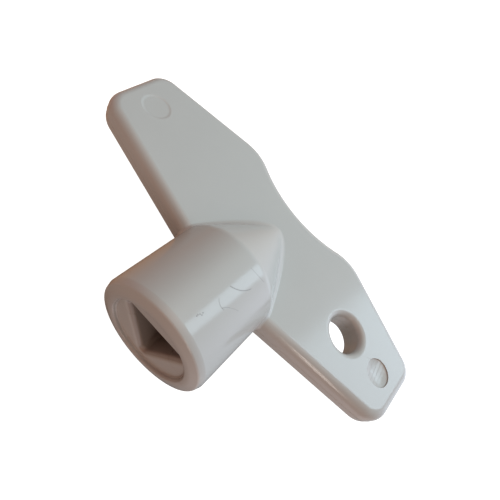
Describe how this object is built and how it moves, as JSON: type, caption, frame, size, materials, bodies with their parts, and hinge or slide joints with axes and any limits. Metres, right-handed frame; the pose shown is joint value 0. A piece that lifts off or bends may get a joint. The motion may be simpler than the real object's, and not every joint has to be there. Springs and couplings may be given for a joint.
{
  "type": "winged socket key",
  "caption": "Small one-piece plastic hand key: round barrel with a three-sided socket, coned into two flat rounded wings, one with a ring hole.",
  "frame": {"origin": "middle of the bounding box, at the underside of the barrel; the key lies with its wings level", "axes": "+Y from the socket's mouth along the barrel's axis towards the wings, +X along the wing with the ring hole, +Z square to the wings"},
  "size_m": [0.062, 0.0346, 0.0162],
  "materials": {
    "grey_plastic": "light grey injection-moulded plastic with a soft gloss, fine scratches and faint flow marks"
  },
  "bodies": {
    "root": {"winged_key": "grey_plastic"}
  },
  "joints": []
}
